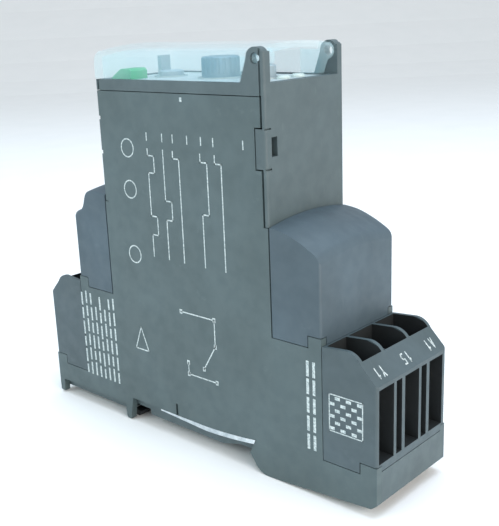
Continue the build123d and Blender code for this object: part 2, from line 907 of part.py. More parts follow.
with BuildPart() as time_dial:
    with BuildSketch(Plane.XY.offset(knob_floor)):
        with Locations((dial_x, 0)):
            Circle(dial_radius)
    extrude(amount=dial_height)
    chamfer(time_dial.faces().sort_by(Axis.Z)[-1].edges(), 0.3)
    # grip flutes round the rim, and a screwdriver slot with a pointer notch on top
    with BuildSketch(Plane.XY.offset(knob_floor + 0.7)):
        with Locations((dial_x, 0)):
            with PolarLocations(dial_radius + 0.12, 20):
                Circle(0.32)
    extrude(amount=dial_height, mode=Mode.SUBTRACT)
    with BuildSketch(Plane.XY.offset(knob_floor + dial_height)):
        with Locations((dial_x, 0)):
            Rectangle(4.6, 0.8)
        with Locations((dial_x - dial_radius + 0.9, 0)):
            Rectangle(1.8, 0.8)
    extrude(amount=-1.1, mode=Mode.SUBTRACT)
    knob_shaft(dial_x)
save(time_dial, "time_dial")

with BuildPart() as range_selector:
    with BuildSketch(Plane.XY.offset(knob_floor)):
        with Locations((range_x, 0)):
            Circle(selector_radius)
    extrude(amount=range_disc_height)
    chamfer(range_selector.faces().sort_by(Axis.Z)[-1].edges(), 0.25)
    tab_x = range_x - selector_radius + 0.75
    box_between(
        (tab_x - 0.55, -1.25, knob_floor + range_disc_height - 0.2),
        (tab_x + 0.55, 1.25, knob_floor + range_disc_height + range_tab_height),
    )
    knob_shaft(range_x)
save(range_selector, "range_selector")

with BuildPart() as function_selector:
    with BuildSketch(Plane.XY.offset(knob_floor)):
        with Locations((function_x, 0)):
            Circle(selector_radius)
    extrude(amount=function_height)
    chamfer(function_selector.faces().sort_by(Axis.Z)[-1].edges(), 0.25)
    with BuildSketch(Plane.XY.offset(knob_floor + function_height)):
        with Locations((function_x, 0)):
            Rectangle(3.4, 0.7)
            Rectangle(0.7, 3.4)
    extrude(amount=-0.9, mode=Mode.SUBTRACT)
    knob_shaft(function_x)
save(function_selector, "function_selector")

with BuildPart() as diagnostic_button:
    with BuildSketch(upright(button_y + button_width / 2)):
        x_low = button_x - button_length / 2
        x_high = button_x + button_length / 2
        Polygon(
            (x_low, front_top - front_thickness - 0.3),
            (x_high, front_top - front_thickness - 0.3),
            (x_high, front_top + button_rise - 0.5),
            (x_high - 0.5, front_top + button_rise),
            (x_high - 2.9, front_top + button_rise),
            (x_low, front_top + 0.35),
            align=None,
        )
    extrude(amount=button_width)
    # collar under the panel keeps it in, and a stem reaches the push switch
    box_between(
        (x_low - button_flange, button_y - button_width / 2, front_top - front_thickness - 0.9),
        (x_high + button_flange, button_y + button_width / 2, front_top - front_thickness - 0.1),
    )
    with BuildSketch(Plane.XY.offset(switch_top)):
        with Locations((button_x, button_y)):
            Circle(1.2)
    extrude(amount=front_top - 1.0 - switch_top)
save(diagnostic_button, "diagnostic_button")

with BuildPart() as status_lenses:
    for y in lamp_ys:
        with BuildSketch(Plane.XY.offset(switch_top + 0.3)):
            with Locations((lamp_x, y)):
                Circle(lamp_radius)
        extrude(amount=front_top + 0.35 - switch_top)
    fillet(status_lenses.faces().group_by(Axis.Z)[-1].edges(), 0.55)
save(status_lenses, "status_lenses")


# ================================================================ boards and electronics
with BuildPart() as main_board:
    with BuildSketch(upright(main_board_y + board_thickness)):
        nose_half = nose_end - wall - board_margin
        Polygon(
            (-nose_half, main_board_top),
            (-nose_half, shelf_height - wall - 2.0),
            (-board_wing, shelf_height - wall - 2.0),
            (-board_wing, main_board_bottom),
            (board_wing, main_board_bottom),
            (board_wing, shelf_height - wall - 2.0),
            (nose_half, shelf_height - wall - 2.0),
            (nose_half, main_board_top),
            align=None,
        )
    extrude(amount=board_thickness)
save(main_board, "main_board")

with BuildPart() as front_board:
    with BuildSketch(Plane.XY.offset(front_board_z)):
        Rectangle(2 * (nose_end - wall - board_margin), 2 * front_board_half)
    extrude(amount=board_thickness)
save(front_board, "front_board")

with BuildPart() as board_header:
    box_between((-9.0, main_board_y - 2.5, main_board_top - 3.0), (9.0, main_board_y, main_board_top - 0.5))
    for i in range(7):
        pin_x = 2.54 * (i - 3)
        box_between(
            (pin_x - 0.3, main_board_y - 1.6, main_board_top - 0.6),
            (pin_x + 0.3, main_board_y - 1.0, front_board_z),
        )
save(board_header, "board_header")


def rotary_body(x, half_size):
    """Rotary part on the front board, with a bore that the knob's shaft turns in."""
    with BuildPart() as body:
        box_between(
            (x - half_size, -half_size, front_board_top),
            (x + half_size, half_size, switch_top - 0.6),
        )
        with BuildSketch(Plane.XY.offset(switch_top - 0.7)):
            with Locations((x, 0)):
                Circle(shaft_radius + 1.1)
        extrude(amount=0.7)
        with BuildSketch(Plane.XY.offset(switch_top)):
            with Locations((x, 0)):
                Circle(shaft_radius + shaft_clearance)
        extrude(amount=-2.0, mode=Mode.SUBTRACT)
    return body


save(rotary_body(dial_x, 4.6), "time_potentiometer")
save(rotary_body(range_x, 3.4), "range_switch")
save(rotary_body(function_x, 3.2), "function_switch")

with BuildPart() as push_switch:
    box_between(
        (button_x - 2.0, button_y - 1.7, front_board_top),
        (button_x + 2.0, button_y + 1.7, switch_top - button_travel - 0.9),
    )
    with BuildSketch(Plane.XY.offset(switch_top - button_travel - 0.95)):
        with Locations((button_x, button_y)):
            Circle(0.9)
    extrude(amount=0.9)
save(push_switch, "push_switch")

with BuildPart() as status_leds:
    for y in lamp_ys:
        with BuildSketch(Plane.XY.offset(front_board_top)):
            with Locations((lamp_x, y)):
                Circle(1.5)
        extrude(amount=switch_top - front_board_top)
    fillet(status_leds.faces().group_by(Axis.Z)[-1].edges(), 1.0)
save(status_leds, "status_leds")


def on_board(x, z, half_x, half_z, height):
    """Block that stands on the main board's component side; joins the open part."""
    box_between((x - half_x, main_board_y - height, z - half_z), (x + half_x, main_board_y, z + half_z))


with BuildPart() as smoothing_capacitor:
    with BuildSketch(Plane.XY.offset(30.0)):
        with Locations((10.5, main_board_y - 5.2)):
            Circle(5.0)
    extrude(amount=14.0)
    fillet(smoothing_capacitor.faces().sort_by(Axis.Z)[-1].edges(), 0.6)
    with BuildSketch(Plane.XY.offset(31.6)):
        with Locations((10.5, main_board_y - 5.2)):
            Circle(5.3)
            Circle(4.75, mode=Mode.SUBTRACT)
    extrude(amount=0.6, mode=Mode.SUBTRACT)
save(smoothing_capacitor, "smoothing_capacitor")

with BuildPart() as film_capacitor:
    on_board(10.5, 22.0, 6.5, 2.6, 11.0)
    fillet(film_capacitor.edges().filter_by(Axis.X), 0.6)
save(film_capacitor, "film_capacitor")

with BuildPart() as varistor:
    with BuildSketch(Plane.XY.offset(47.0)):
        with Locations((10.5, main_board_y - 5.6)):
            Circle(4.6)
    extrude(amount=3.6)
    fillet(varistor.edges(), 1.0)
    for x in (8.0, 13.0):
        box_between((x - 0.3, main_board_y - 3.5, 48.5), (x + 0.3, main_board_y, 49.1))
save(varistor, "varistor")

with BuildPart() as choke:
    with BuildSketch(upright(main_board_y)):
        with Locations((-12.5, 49.0)):
            Circle(4.2)
    extrude(amount=1.2)
    with BuildSketch(upright(main_board_y - 1.1)):
        with Locations((-12.5, 49.0)):
            Circle(3.6)
    extrude(amount=7.0)
    with BuildSketch(upright(main_board_y - 8.0)):
        with Locations((-12.5, 49.0)):
            Circle(4.2)
    extrude(amount=1.2)
save(choke, "choke")

with BuildPart() as controller_chip:
    on_board(0.0, 51.0, 3.6, 3.6, 1.4)
    for i in range(8):
        for side in (-1, 1):
            lead_z = 51.0 + 0.8 * (i - 3.5)
            box_between(
                (min(side * 3.5, side * 4.6), main_board_y - 0.5, lead_z - 0.15),
                (max(side * 3.5, side * 4.6), main_board_y, lead_z + 0.15),
            )
save(controller_chip, "controller_chip")

with BuildPart() as bridge_rectifier:
    on_board(10.5, 11.5, 4.4, 3.2, 3.0)
    chamfer(bridge_rectifier.faces().sort_by(Axis.Y)[0].edges(), 0.4)
save(bridge_rectifier, "bridge_rectifier")


# ================================================================ output relay on the main board
relay_floor = main_board_y - relay_base_thickness
relay_cap = main_board_y - relay_depth
relay_top = relay_z + relay_length
inner_half = relay_width / 2 - relay_wall
coil_y = -1.9
coil_low = relay_z + 11.5
coil_high = relay_top - 4.0
core_radius = 1.5
yoke_inner = relay_floor - 2.2
hinge_y = yoke_inner + 0.55
hinge_z = coil_low - 1.9

with BuildPart() as relay_base:
    on_board(relay_x, (relay_z + relay_top) / 2, relay_width / 2, relay_length / 2, relay_base_thickness)
save(relay_base, "relay_base")

with BuildPart() as relay_case:
    box_between(
        (relay_x - relay_width / 2, relay_cap, relay_z),
        (relay_x + relay_width / 2, relay_floor, relay_top),
    )
    fillet(relay_case.faces().sort_by(Axis.Y)[0].edges(), 0.5)
    box_between(
        (relay_x - inner_half, relay_cap + relay_wall, relay_z + relay_wall),
        (relay_x + inner_half, relay_floor + 1, relay_top - relay_wall),
        mode=Mode.SUBTRACT,
    )
save(relay_case, "relay_case")

with BuildPart() as relay_bobbin:
    for z in (coil_low, coil_high - 0.8):
        box_between(
            (relay_x - 4.9, coil_y - 4.7, z),
            (relay_x + 4.9, coil_y + 4.3, z + 0.8),
        )
    with BuildSketch(Plane.XY.offset(coil_low)):
        with Locations((relay_x, coil_y)):
            Circle(core_radius + 0.7)
    extrude(amount=coil_high - coil_low)
    with BuildSketch(Plane.XY.offset(coil_low - 1)):
        with Locations((relay_x, coil_y)):
            Circle(core_radius + 0.03)
    extrude(amount=coil_high - coil_low + 2, mode=Mode.SUBTRACT)
save(relay_bobbin, "relay_bobbin")

with BuildPart() as relay_winding:
    with BuildSketch(Plane.XY.offset(coil_low + 0.85)):
        with Locations((relay_x, coil_y)):
            Circle(4.2)
            Circle(core_radius + 0.73, mode=Mode.SUBTRACT)
    extrude(amount=coil_high - coil_low - 1.7)
save(relay_winding, "relay_winding")

with BuildPart() as relay_core:
    with BuildSketch(Plane.XY.offset(coil_low - 0.9)):
        with Locations((relay_x, coil_y)):
            Circle(core_radius)
    extrude(amount=coil_high + 0.05 - coil_low + 0.9)
save(relay_core, "relay_core")

with BuildPart() as relay_yoke:
    box_between(
        (relay_x - 4.4, coil_y - 3.0, coil_high + 0.05),
        (relay_x + 4.4, yoke_inner + 1.1, coil_high + 1.15),
    )
    box_between(
        (relay_x - 4.4, yoke_inner, hinge_z + 0.75),
        (relay_x + 4.4, yoke_inner + 1.1, coil_high + 0.2),
    )
save(relay_yoke, "relay_yoke")

with BuildPart() as relay_armature:
    # plate under the core's pole face, bent round the end of the yoke, with the hinge in the bend
    box_between(
        (relay_x - 4.0, coil_y - 3.6, hinge_z - 0.6),
        (relay_x + 4.0, hinge_y + 0.45, hinge_z + 0.5),
    )
    with BuildSketch(Plane.YZ.offset(relay_x - 4.0)):
        with Locations((hinge_y, hinge_z)):
            Circle(0.6)
    extrude(amount=8.0)
save(relay_armature, "relay_armature")

blade_y = coil_y + 1.6
blade_low = relay_z + 2.0
with BuildPart() as relay_moving_contact:
    box_between(
        (relay_x - 1.6, blade_y - 0.15, blade_low),
        (relay_x + 1.6, blade_y + 0.15, hinge_z - 0.6),
    )
    box_between(
        (relay_x - 1.6, blade_y - 2.4, hinge_z - 0.9),
        (relay_x + 1.6, blade_y + 0.15, hinge_z - 0.6),
    )
    with BuildSketch(upright(blade_y + 0.55)):
        with Locations((relay_x, blade_low + 1.3)):
            Circle(0.9)
    extrude(amount=1.1)
save(relay_moving_contact, "relay_moving_contact")

contact_swing = radians(armature_travel) * (hinge_z - blade_low - 1.3)
contact_z = blade_low + 1.3
with BuildPart() as relay_fixed_contacts:
    # resting contact on the board side
    closed_y = blade_y + 0.55 + 0.04
    with BuildSketch(upright(closed_y + 0.5)):
        with Locations((relay_x, contact_z)):
            Circle(0.9)
    extrude(amount=0.5)
    box_between(
        (relay_x - 1.4, closed_y + 0.4, contact_z - 1.1),
        (relay_x + 1.4, closed_y + 0.9, contact_z + 1.1),
    )
    box_between(
        (relay_x - 0.6, closed_y + 0.8, contact_z - 0.3),
        (relay_x + 0.6, relay_floor, contact_z + 0.3),
    )
    # working contact on the far side of the blade, on a leg that passes below it
    open_y = blade_y - 0.55 - 0.06 - contact_swing
    with BuildSketch(upright(open_y)):
        with Locations((relay_x, contact_z)):
            Circle(0.9)
    extrude(amount=0.5)
    box_between(
        (relay_x - 1.4, open_y - 0.9, relay_z + 1.0),
        (relay_x + 1.4, open_y - 0.4, contact_z + 1.1),
    )
    box_between(
        (relay_x - 1.4, open_y - 0.9, relay_z + 1.0),
        (relay_x + 1.4, relay_floor, relay_z + 1.5),
    )
save(relay_fixed_contacts, "relay_fixed_contacts")


# ================================================================ rail clip and rail spring
clip_left = -half_length + 0.1
clip_right = rail_left - 0.25
with BuildPart() as rail_clip:
    box_between(
        (clip_left, -clip_half_width, -clip_underside),
        (clip_right, clip_half_width, clip_thickness - clip_underside),
    )
    # jaw that hooks under the rail's flange between the guide lips, with a sloped lead-in
    with BuildSketch(upright(hook_half)):
        Polygon(
            (clip_right - jaw_length, -clip_underside + 0.2),
            (clip_right, -clip_underside + 0.2),
            (clip_right, -rail_flange - 0.05),
            (rail_left + hook_reach, -rail_flange - 0.05),
            (rail_left + hook_reach, -rail_flange - 0.6),
            (rail_left - 0.4, -jaw_drop),
            (clip_right - jaw_length, -jaw_drop),
            align=None,
        )
    extrude(amount=2 * hook_half)
    # full-width foot of the jaw, just below the lips
    with BuildSketch(upright(jaw_half_width)):
        Polygon(
            (clip_right - jaw_length, -guide_drop - 0.2),
            (rail_left + 0.3, -guide_drop - 0.2),
            (rail_left - 0.4, -jaw_drop),
            (clip_right - jaw_length, -jaw_drop),
            align=None,
        )
    extrude(amount=2 * jaw_half_width)
    # release tab at the free end, with a slot for a screwdriver tip
    box_between((clip_left, -4.5, -3.2), (clip_left + 2.9, 4.5, 0))
    box_between((clip_left + 1.0, -2.6, -4.0), (clip_left + 2.0, 2.6, 0.4), mode=Mode.SUBTRACT)
    # two long slots that make the plate springy
    with BuildSketch(Plane.XY.offset(clip_thickness)):
        with Locations(((clip_left + clip_right) / 2, -4.0), ((clip_left + clip_right) / 2, 4.0)):
            SlotOverall(14.0, 2.4)
    extrude(amount=-2 * clip_thickness, mode=Mode.SUBTRACT)
save(rail_clip, "rail_clip")

with BuildPart() as rail_spring:
    left_roof = rail_left + 0.55
    right_roof = rail_right + 1.3
    bow_start = left_roof + 0.62 * (right_roof - left_roof)
    tip_x = left_roof + 9.0
    roof_gap = 0.06
    bow_middle = (bow_start + right_roof) / 2
    bow_top = recess_rise + 0.36 * recess_bow - roof_gap
    with BuildSketch(upright(panel_inner - 0.05)):
        with BuildLine() as line:
            Line((tip_x, recess_rise - roof_gap - 0.3), (tip_x, recess_rise - roof_gap))
            Line((tip_x, recess_rise - roof_gap), (bow_start, recess_rise - roof_gap))
            ThreePointArc(
                (bow_start, recess_rise - roof_gap),
                (bow_middle, bow_top),
                (right_roof - 0.25, recess_rise + recess_bow - roof_gap - 0.03),
            )
            Line(
                (right_roof - 0.25, recess_rise + recess_bow - roof_gap - 0.03),
                (right_roof - 0.65, recess_rise + recess_bow - roof_gap - spring_thickness),
            )
            ThreePointArc(
                (right_roof - 0.65, recess_rise + recess_bow - roof_gap - spring_thickness),
                (bow_middle, bow_top - spring_thickness),
                (bow_start, recess_rise - roof_gap - spring_thickness),
            )
            Line(
                (bow_start, recess_rise - roof_gap - spring_thickness),
                (tip_x, recess_rise - roof_gap - 0.3),
            )
        make_face(line.edges())
    extrude(amount=panel_thickness - 0.1)
save(rail_spring, "rail_spring")
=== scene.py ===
import json
import math

import bmesh
import bpy
import numpy as np
from mathutils import Matrix, Vector


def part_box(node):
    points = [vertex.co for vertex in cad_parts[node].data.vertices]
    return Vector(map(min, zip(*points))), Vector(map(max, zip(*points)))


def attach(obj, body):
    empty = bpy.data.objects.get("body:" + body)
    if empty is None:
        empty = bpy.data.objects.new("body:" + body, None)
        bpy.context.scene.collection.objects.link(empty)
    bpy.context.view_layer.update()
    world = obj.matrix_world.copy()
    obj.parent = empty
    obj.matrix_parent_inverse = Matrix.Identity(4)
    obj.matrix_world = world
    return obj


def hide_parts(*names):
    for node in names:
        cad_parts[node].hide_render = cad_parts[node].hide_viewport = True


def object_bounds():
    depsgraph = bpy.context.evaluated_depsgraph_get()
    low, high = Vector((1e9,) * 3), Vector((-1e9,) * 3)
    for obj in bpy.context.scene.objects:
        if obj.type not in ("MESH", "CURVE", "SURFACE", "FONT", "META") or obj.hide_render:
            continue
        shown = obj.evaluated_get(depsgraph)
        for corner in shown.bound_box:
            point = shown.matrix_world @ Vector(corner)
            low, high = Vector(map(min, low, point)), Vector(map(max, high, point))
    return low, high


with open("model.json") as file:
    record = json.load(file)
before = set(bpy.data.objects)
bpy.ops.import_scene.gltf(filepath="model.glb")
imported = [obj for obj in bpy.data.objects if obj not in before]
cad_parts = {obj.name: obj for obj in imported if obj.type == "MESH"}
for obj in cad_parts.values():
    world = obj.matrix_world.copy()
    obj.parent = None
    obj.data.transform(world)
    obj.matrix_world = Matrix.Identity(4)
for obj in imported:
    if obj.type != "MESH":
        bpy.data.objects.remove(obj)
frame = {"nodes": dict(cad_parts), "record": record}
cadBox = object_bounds()
mm = 0.001
print("stage: frame loaded,", len(frame["nodes"]), "CAD nodes")


# ---------- colours and nodes ----------
def linearColour(hexText, alpha=1.0):
    # sRGB hex to linear, each channel by the sRGB curve
    channels = [int(hexText[i:i + 2], 16) / 255 for i in (1, 3, 5)]
    return tuple(c / 12.92 if c <= 0.04045 else ((c + 0.055) / 1.055) ** 2.4 for c in channels) + (alpha,)


def addNode(tree, kind, settings=None, links=None):
    # one node: settings are attributes or input values, links are input name to output socket
    node = tree.nodes.new(kind)
    for name, value in (settings or {}).items():
        if name in node.inputs:
            node.inputs[name].default_value = value
        else:
            setattr(node, name, value)
    for name, socket in (links or {}).items():
        tree.links.new(node.inputs[name], socket)
    return node


def startMaterial(name):
    material = bpy.data.materials.new(name)
    material.use_nodes = True
    tree = material.node_tree
    tree.nodes.clear()
    output = addNode(tree, "ShaderNodeOutputMaterial")
    shader = addNode(tree, "ShaderNodeBsdfPrincipled")
    tree.links.new(output.inputs["Surface"], shader.outputs["BSDF"])
    place = addNode(tree, "ShaderNodeTexCoord").outputs["Object"]
    return material, tree, shader, place


def twoTone(tree, factor, low, high):
    # colour between two tones by a factor
    mix = addNode(tree, "ShaderNodeMix", {"data_type": "RGBA"})
    tree.links.new(mix.inputs["Factor"], factor)
    mix.inputs["A"].default_value = low
    mix.inputs["B"].default_value = high
    return mix.outputs["Result"]


def spread(tree, socket, fromLow, fromHigh, toLow, toHigh):
    node = addNode(tree, "ShaderNodeMapRange",
                   {"From Min": fromLow, "From Max": fromHigh, "To Min": toLow, "To Max": toHigh},
                   {"Value": socket})
    return node.outputs["Result"]


# glass-filled polyamide, injection moulded in a spark-eroded mould: a fine even grain breaks the
# highlights, slow flow marks change the tone a little, and handling leaves faint pale rubs
def mouldedPolyamide(name, dark, light, rubbed, roughness=0.56, grainMm=0.16, grainDepth=0.16):
    material, tree, shader, place = startMaterial(name)
    flow = addNode(tree, "ShaderNodeTexNoise", {"Scale": 1 / (14 * mm), "Detail": 3.0}, {"Vector": place})
    cloud = addNode(tree, "ShaderNodeTexNoise", {"Scale": 1 / (2.6 * mm), "Detail": 4.0}, {"Vector": place})
    grain = addNode(tree, "ShaderNodeTexNoise", {"Scale": 1 / (grainMm * mm), "Detail": 2.0},
                    {"Vector": place})
    stretch = addNode(tree, "ShaderNodeMapping", {"Rotation": (0.3, 0.5, 0.9), "Scale": (1.0, 7.0, 1.4)},
                      {"Vector": place})
    rubs = addNode(tree, "ShaderNodeTexNoise", {"Scale": 1 / (6 * mm), "Detail": 6.0, "Roughness": 0.7},
                   {"Vector": stretch.outputs["Vector"]})
    tone = twoTone(tree, spread(tree, flow.outputs["Fac"], 0.3, 0.7, 0.0, 1.0),
                   linearColour(dark), linearColour(light))
    mottle = addNode(tree, "ShaderNodeMix", {"data_type": "RGBA", "blend_type": "MULTIPLY"})
    tree.links.new(mottle.inputs["Factor"], spread(tree, cloud.outputs["Fac"], 0.4, 0.62, 0.0, 0.22))
    tree.links.new(mottle.inputs["A"], tone)
    mottle.inputs["B"].default_value = (0.72, 0.74, 0.76, 1)
    worn = addNode(tree, "ShaderNodeMix", {"data_type": "RGBA"})
    tree.links.new(worn.inputs["Factor"], spread(tree, rubs.outputs["Fac"], 0.62, 0.78, 0.0, 0.28))
    tree.links.new(worn.inputs["A"], mottle.outputs["Result"])
    worn.inputs["B"].default_value = linearColour(rubbed)
    tree.links.new(shader.inputs["Base Color"], worn.outputs["Result"])
    tree.links.new(shader.inputs["Roughness"],
                   spread(tree, cloud.outputs["Fac"], 0.3, 0.7, roughness - 0.07, roughness + 0.07))
    bump = addNode(tree, "ShaderNodeBump", {"Strength": grainDepth, "Distance": 0.05 * mm},
                   {"Height": grain.outputs["Fac"]})
    tree.links.new(shader.inputs["Normal"], bump.outputs["Normal"])
    shader.inputs["IOR"].default_value = 1.53
    return material


# clear polycarbonate, polished mould: nearly smooth, a faint cyan body tint, fine hairline scratches
def clearPolycarbonate(name, tint, alpha=0.3):
    material, tree, shader, place = startMaterial(name)
    stretch = addNode(tree, "ShaderNodeMapping", {"Rotation": (0.0, 0.1, 0.5), "Scale": (1.0, 16.0, 2.0)},
                      {"Vector": place})
    hairs = addNode(tree, "ShaderNodeTexNoise", {"Scale": 1 / (1.2 * mm), "Detail": 5.0},
                    {"Vector": stretch.outputs["Vector"]})
    haze = addNode(tree, "ShaderNodeTexNoise", {"Scale": 1 / (9 * mm), "Detail": 2.0}, {"Vector": place})
    tree.links.new(shader.inputs["Base Color"],
                   twoTone(tree, haze.outputs["Fac"], linearColour(tint), linearColour("#e4f6fa")))
    tree.links.new(shader.inputs["Roughness"], spread(tree, hairs.outputs["Fac"], 0.5, 0.75, 0.05, 0.2))
    tree.links.new(shader.inputs["Alpha"],
                   spread(tree, haze.outputs["Fac"], 0.3, 0.7, alpha - 0.03, alpha + 0.05))
    shader.inputs["IOR"].default_value = 1.585
    return material


# metal with a plated skin: grain lines one way, small crystal spangle, dulled patches
def platedMetal(name, bright, dull, roughness=0.3, lineMm=0.12, along=(1.0, 14.0, 14.0)):
    material, tree, shader, place = startMaterial(name)
    stretch = addNode(tree, "ShaderNodeMapping", {"Scale": along}, {"Vector": place})
    lines = addNode(tree, "ShaderNodeTexNoise", {"Scale": 0.07 / (lineMm * mm), "Detail": 4.0},
                    {"Vector": stretch.outputs["Vector"]})
    patches = addNode(tree, "ShaderNodeTexNoise", {"Scale": 1 / (1.8 * mm), "Detail": 3.0}, {"Vector": place})
    tree.links.new(shader.inputs["Base Color"],
                   twoTone(tree, spread(tree, patches.outputs["Fac"], 0.35, 0.65, 0.0, 1.0),
                           linearColour(bright), linearColour(dull)))
    tree.links.new(shader.inputs["Roughness"],
                   spread(tree, lines.outputs["Fac"], 0.3, 0.7, roughness - 0.08, roughness + 0.14))
    bump = addNode(tree, "ShaderNodeBump", {"Strength": 0.25, "Distance": 0.02 * mm},
                   {"Height": lines.outputs["Fac"]})
    tree.links.new(shader.inputs["Normal"], bump.outputs["Normal"])
    shader.inputs["Metallic"].default_value = 1.0
    return material


polyamide = {
    "housing": mouldedPolyamide("housingPolyamide", "#465457", "#4e5d61", "#6f7f82"),
    "panel": mouldedPolyamide("panelPolyamide", "#465557", "#4e5e61", "#708083"),
    "cap": mouldedPolyamide("capPolyamide", "#3f4e56", "#475862", "#6a7a82"),
    "terminal": mouldedPolyamide("terminalPolyamide", "#3e4c50", "#47565c", "#6c7a7f"),
    # near-black copy of the terminal plastic: painted shade for the deep faces inside the terminal blocks, where
    # the wire entries lie in shadow, not a plastic of its own
    "inside": mouldedPolyamide("terminalInsidePaintedShade", "#0f1517", "#141b1e", "#20282b", 0.7),
    "clip": mouldedPolyamide("clipPolyamide", "#1c2022", "#24292b", "#4c5356", 0.5),
    "front": mouldedPolyamide("frontPanelPolyamide", "#a9b5b8", "#b8c4c6", "#d5dcdd", 0.5),
    "dial": mouldedPolyamide("dialPolyamide", "#5c7a8a", "#66879a", "#90a8b4", 0.45, 0.12),
    "selector": mouldedPolyamide("selectorPolyamide", "#8f9fa8", "#9fb0b8", "#c2ccd0", 0.45, 0.12),
    "button": mouldedPolyamide("buttonPolyamide", "#2f9a58", "#3bb068", "#86cf9c", 0.42, 0.12),
}
metal = {
    "zinc": platedMetal("zincPlatedSteel", "#c9ced2", "#9aa2a8", 0.32),
    "spring": platedMetal("springSteelStrip", "#dfe6ea", "#b9c4ca", 0.22, 0.1),
    "tin": platedMetal("tinnedCopper", "#cfc3ae", "#a5967e", 0.34),
    "copper": platedMetal("enamelledWire", "#b5623a", "#8f4a2a", 0.3, 0.14, (14.0, 14.0, 1.0)),
    "iron": platedMetal("softIron", "#a7a9a6", "#7d807f", 0.38),
    "silver": platedMetal("contactAlloy", "#d8cfae", "#a99f84", 0.25),
}
clear = {
    "cover": clearPolycarbonate("coverPolycarbonate", "#7fd3e4", 0.15),
    "lens": clearPolycarbonate("lensPolycarbonate", "#dff2e6", 0.55),
    "led": clearPolycarbonate("diodeEpoxy", "#f0ecd4", 0.75),
}


# solder resist over copper on a glass-epoxy board: green lacquer, tracks as a raised paler pattern
def boardLacquer(name, base, track):
    material, tree, shader, place = startMaterial(name)
    lanes = addNode(tree, "ShaderNodeTexVoronoi", {"Scale": 1 / (2.2 * mm), "distance": "MANHATTAN"},
                    {"Vector": place})
    onTrack = spread(tree, lanes.outputs["Distance"], 0.30, 0.36, 1.0, 0.0)
    tree.links.new(shader.inputs["Base Color"],
                   twoTone(tree, onTrack, linearColour(base), linearColour(track)))
    bump = addNode(tree, "ShaderNodeBump", {"Strength": 0.5, "Distance": 0.05 * mm}, {"Height": onTrack})
    tree.links.new(shader.inputs["Normal"], bump.outputs["Normal"])
    shader.inputs["Roughness"].default_value = 0.32
    return material


# small component bodies: dipped lacquer, sleeve or moulding, with a soft orange-peel skin
def componentSkin(name, base, edge, roughness=0.3):
    material, tree, shader, place = startMaterial(name)
    peel = addNode(tree, "ShaderNodeTexNoise", {"Scale": 1 / (0.7 * mm), "Detail": 3.0}, {"Vector": place})
    tree.links.new(shader.inputs["Base Color"],
                   twoTone(tree, spread(tree, peel.outputs["Fac"], 0.35, 0.7, 0.0, 1.0),
                           linearColour(base), linearColour(edge)))
    tree.links.new(shader.inputs["Roughness"],
                   spread(tree, peel.outputs["Fac"], 0.3, 0.7, roughness - 0.05, roughness + 0.1))
    bump = addNode(tree, "ShaderNodeBump", {"Strength": 0.2, "Distance": 0.05 * mm},
                   {"Height": peel.outputs["Fac"]})
    tree.links.new(shader.inputs["Normal"], bump.outputs["Normal"])
    return material


skin = {
    "board": boardLacquer("boardSolderResist", "#0d4a2b", "#1c6b3f"),
    "black": componentSkin("blackMoulding", "#141617", "#1f2223", 0.42),
    "switch": componentSkin("switchMoulding", "#1d3150", "#29426a", 0.38),
    "sleeve": componentSkin("capacitorSleeve", "#101a33", "#1b2950", 0.25),
    "film": componentSkin("filmBoxMoulding", "#b18a1c", "#c79d2c", 0.35),
    "ceramic": componentSkin("varistorLacquer", "#1d548d", "#2c6aa8", 0.3),
    "relayCase": componentSkin("relayCaseMoulding", "#15181b", "#22272b", 0.35),
    "bobbin": componentSkin("bobbinMoulding", "#c8c3b0", "#d8d4c4", 0.45),
}
print("stage: materials made,", len(bpy.data.materials))

# which finish each carried-over CAD node gets
poleNames = ("y1", "15", "a1", "18", "16", "a2")
finishOf = {
    "main_housing": polyamide["housing"], "side_panel": polyamide["panel"], "bezel": polyamide["housing"],
    "shoulder_cap_a": polyamide["cap"], "shoulder_cap_b": polyamide["cap"],
    "terminal_block_a": polyamide["terminal"], "terminal_block_b": polyamide["terminal"],
    "flip_cover": clear["cover"], "front_panel": polyamide["front"],
    "time_dial": polyamide["dial"], "range_selector": polyamide["selector"],
    "function_selector": polyamide["selector"], "diagnostic_button": polyamide["button"],
    "status_lenses": clear["lens"], "status_leds": clear["led"],
    "main_board": skin["board"], "front_board": skin["board"], "board_header": skin["black"],
    "time_potentiometer": skin["switch"], "range_switch": skin["switch"],
    "function_switch": skin["switch"], "push_switch": skin["black"],
    "smoothing_capacitor": skin["sleeve"], "film_capacitor": skin["film"], "varistor": skin["ceramic"],
    "choke": metal["copper"], "controller_chip": skin["black"], "bridge_rectifier": skin["black"],
    "relay_base": skin["relayCase"], "relay_case": skin["relayCase"], "relay_bobbin": skin["bobbin"],
    "relay_winding": metal["copper"], "relay_core": metal["iron"], "relay_yoke": metal["iron"],
    "relay_armature": metal["iron"], "relay_moving_contact": metal["silver"],
    "relay_fixed_contacts": metal["silver"], "rail_clip": polyamide["clip"], "rail_spring": metal["spring"],
}
for pole in poleNames:
    finishOf[f"clamp_screw_{pole}"] = metal["zinc"]
    finishOf[f"clamp_cage_{pole}"] = metal["zinc"]
    finishOf[f"contact_bar_{pole}"] = metal["tin"]
for nodeName, material in finishOf.items():
    slots = frame["nodes"][nodeName].data.materials
    slots.clear()
    slots.append(material)


# ---------- moulded shells with eased edges ----------
bodyOf = {n: b for b, members in frame["record"]["behaviour"]["bodies"].items() for n in members}


def facesInwards(face, nodeName):
    # true for a face that lies inside the block's outer skin: below the rim and off every outer plane; these
    # faces get the near-black painted shade
    low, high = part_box(nodeName)
    place = face.calc_center_median()
    lip = 0.4 * mm
    outside = min(place.x - low[0], high[0] - place.x, place.y - low[1], high[1] - place.y,
                  place.z - low[2], high[2] - place.z)
    sloped = abs(face.normal.x) > 0.2 and face.normal.z > 0.2
    return outside > lip and not sloped


